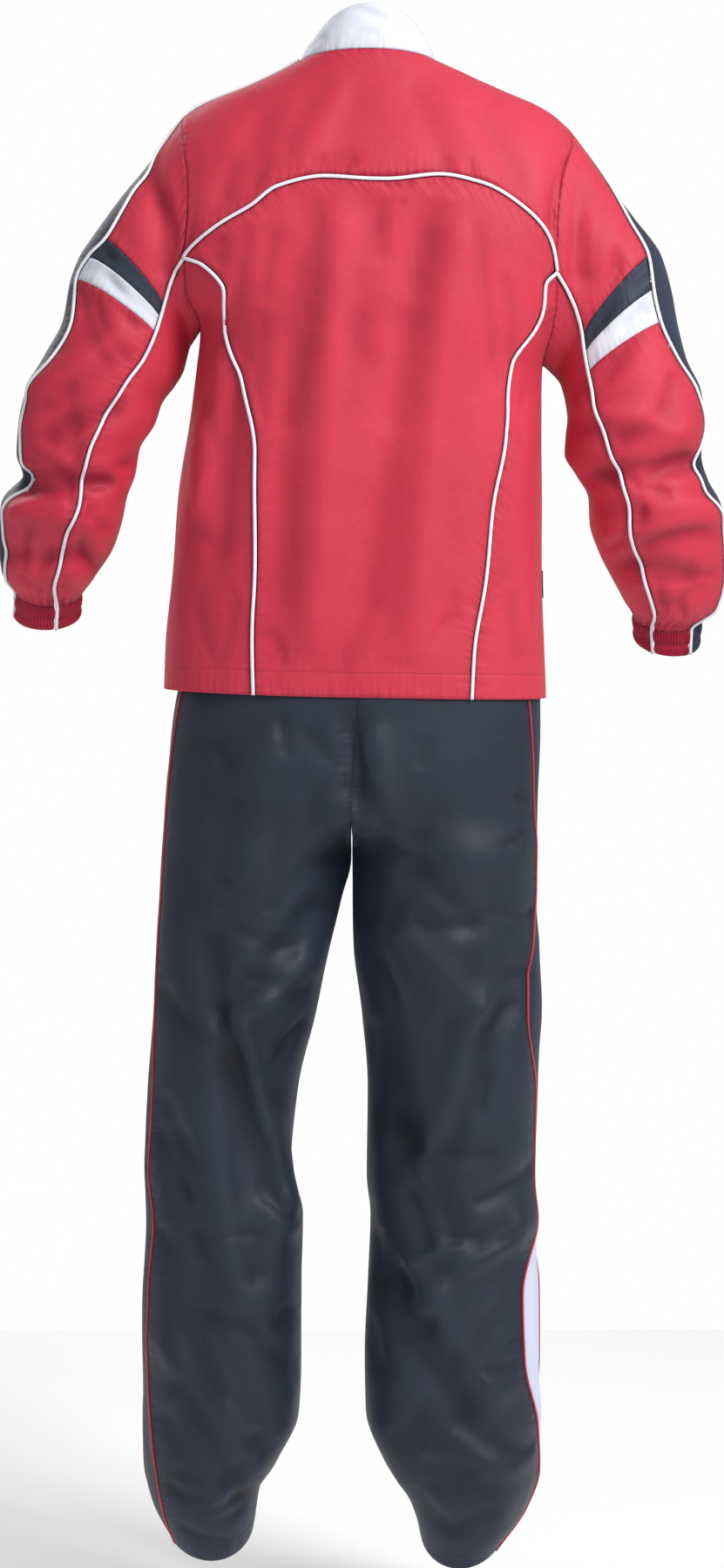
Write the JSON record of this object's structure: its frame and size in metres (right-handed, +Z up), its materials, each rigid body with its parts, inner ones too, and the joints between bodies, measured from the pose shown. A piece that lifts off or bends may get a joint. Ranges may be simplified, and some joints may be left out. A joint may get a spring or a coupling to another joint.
{
  "type": "tracksuit",
  "caption": "Two-piece woven tracksuit in its worn form, empty: zipped jacket with stand collar, gathered cuffs and contrast stripes, over long straight trousers.",
  "frame": {"origin": "middle of the jacket's neck opening, level with the tops of the shoulders, where the wearer holds the jacket up", "axes": "+Z up, -Y towards the front of the wearer, +X towards the wearer's left"},
  "size_m": [0.7887, 0.2637, 1.6759],
  "materials": {
    "red_cloth": "red woven nylon, soft sheen",
    "navy_jacket_cloth": "navy woven nylon, soft sheen",
    "grey_navy_cloth": "greyish navy woven nylon",
    "white_cloth": "white woven nylon",
    "navy_trouser_cloth": "dark navy satin nylon",
    "white_cord": "white woven piping",
    "red_cord": "red woven piping",
    "zip_tape": "dark zip tape with closed teeth",
    "label": "woven label with nothing on it",
    "zip_metal": "dull nickel"
  },
  "bodies": {
    "garment": {"back_centre": "red_cloth", "back_piping_left": "white_cord", "back_piping_right": "white_cord", "back_side_left": "red_cloth", "back_side_right": "red_cloth", "back_yoke": "red_cloth", "collar": "white_cloth", "cuff_back_left": "red_cloth", "cuff_back_right": "red_cloth", "cuff_front_left": "red_cloth", "cuff_front_right": "red_cloth", "cuff_stripe_left": "navy_jacket_cloth", "cuff_stripe_right": "navy_jacket_cloth", "front_left": "red_cloth", "front_right": "red_cloth", "front_zip": "zip_tape", "leg_back_left": "navy_trouser_cloth", "leg_back_right": "navy_trouser_cloth", "leg_front_left": "navy_trouser_cloth", "leg_front_right": "navy_trouser_cloth", "leg_piping_back_left": "red_cord", "leg_piping_back_right": "red_cord", "leg_piping_front_left": "red_cord", "leg_piping_front_right": "red_cord", "leg_stripe_left": "navy_trouser_cloth", "leg_stripe_upper_right": "navy_trouser_cloth", "leg_stripe_white_right": "white_cloth", "side_label": "label", "sleeve_back_lower_left": "red_cloth", "sleeve_back_lower_right": "red_cloth", "sleeve_back_upper_left": "red_cloth", "sleeve_back_upper_right": "red_cloth", "sleeve_band_dark_left": "grey_navy_cloth", "sleeve_band_dark_right": "grey_navy_cloth", "sleeve_band_white_left": "white_cloth", "sleeve_band_white_right": "white_cloth", "sleeve_front_left": "red_cloth", "sleeve_front_right": "red_cloth", "sleeve_piping_left": "white_cord", "sleeve_piping_right": "white_cord", "sleeve_under_left": "red_cloth", "sleeve_under_right": "red_cloth", "stripe_left": "navy_jacket_cloth", "stripe_piping_back_left": "white_cord", "stripe_piping_back_right": "white_cord", "stripe_piping_front_left": "white_cord", "stripe_piping_front_right": "white_cord", "stripe_right": "navy_jacket_cloth", "waistband": "navy_trouser_cloth", "yoke_piping": "white_cord", "zip_slider": "zip_metal"},
    "tab": {"pull_tab": "zip_metal"}
  },
  "joints": [
    {"name": "pull_tab_swing", "type": "hinge", "parent": "garment", "child": "tab", "pos_m": [-0.0084, -0.06666, -0.02651], "axis": [-1, 0, 0], "range_deg": [0, 150]}
  ]
}
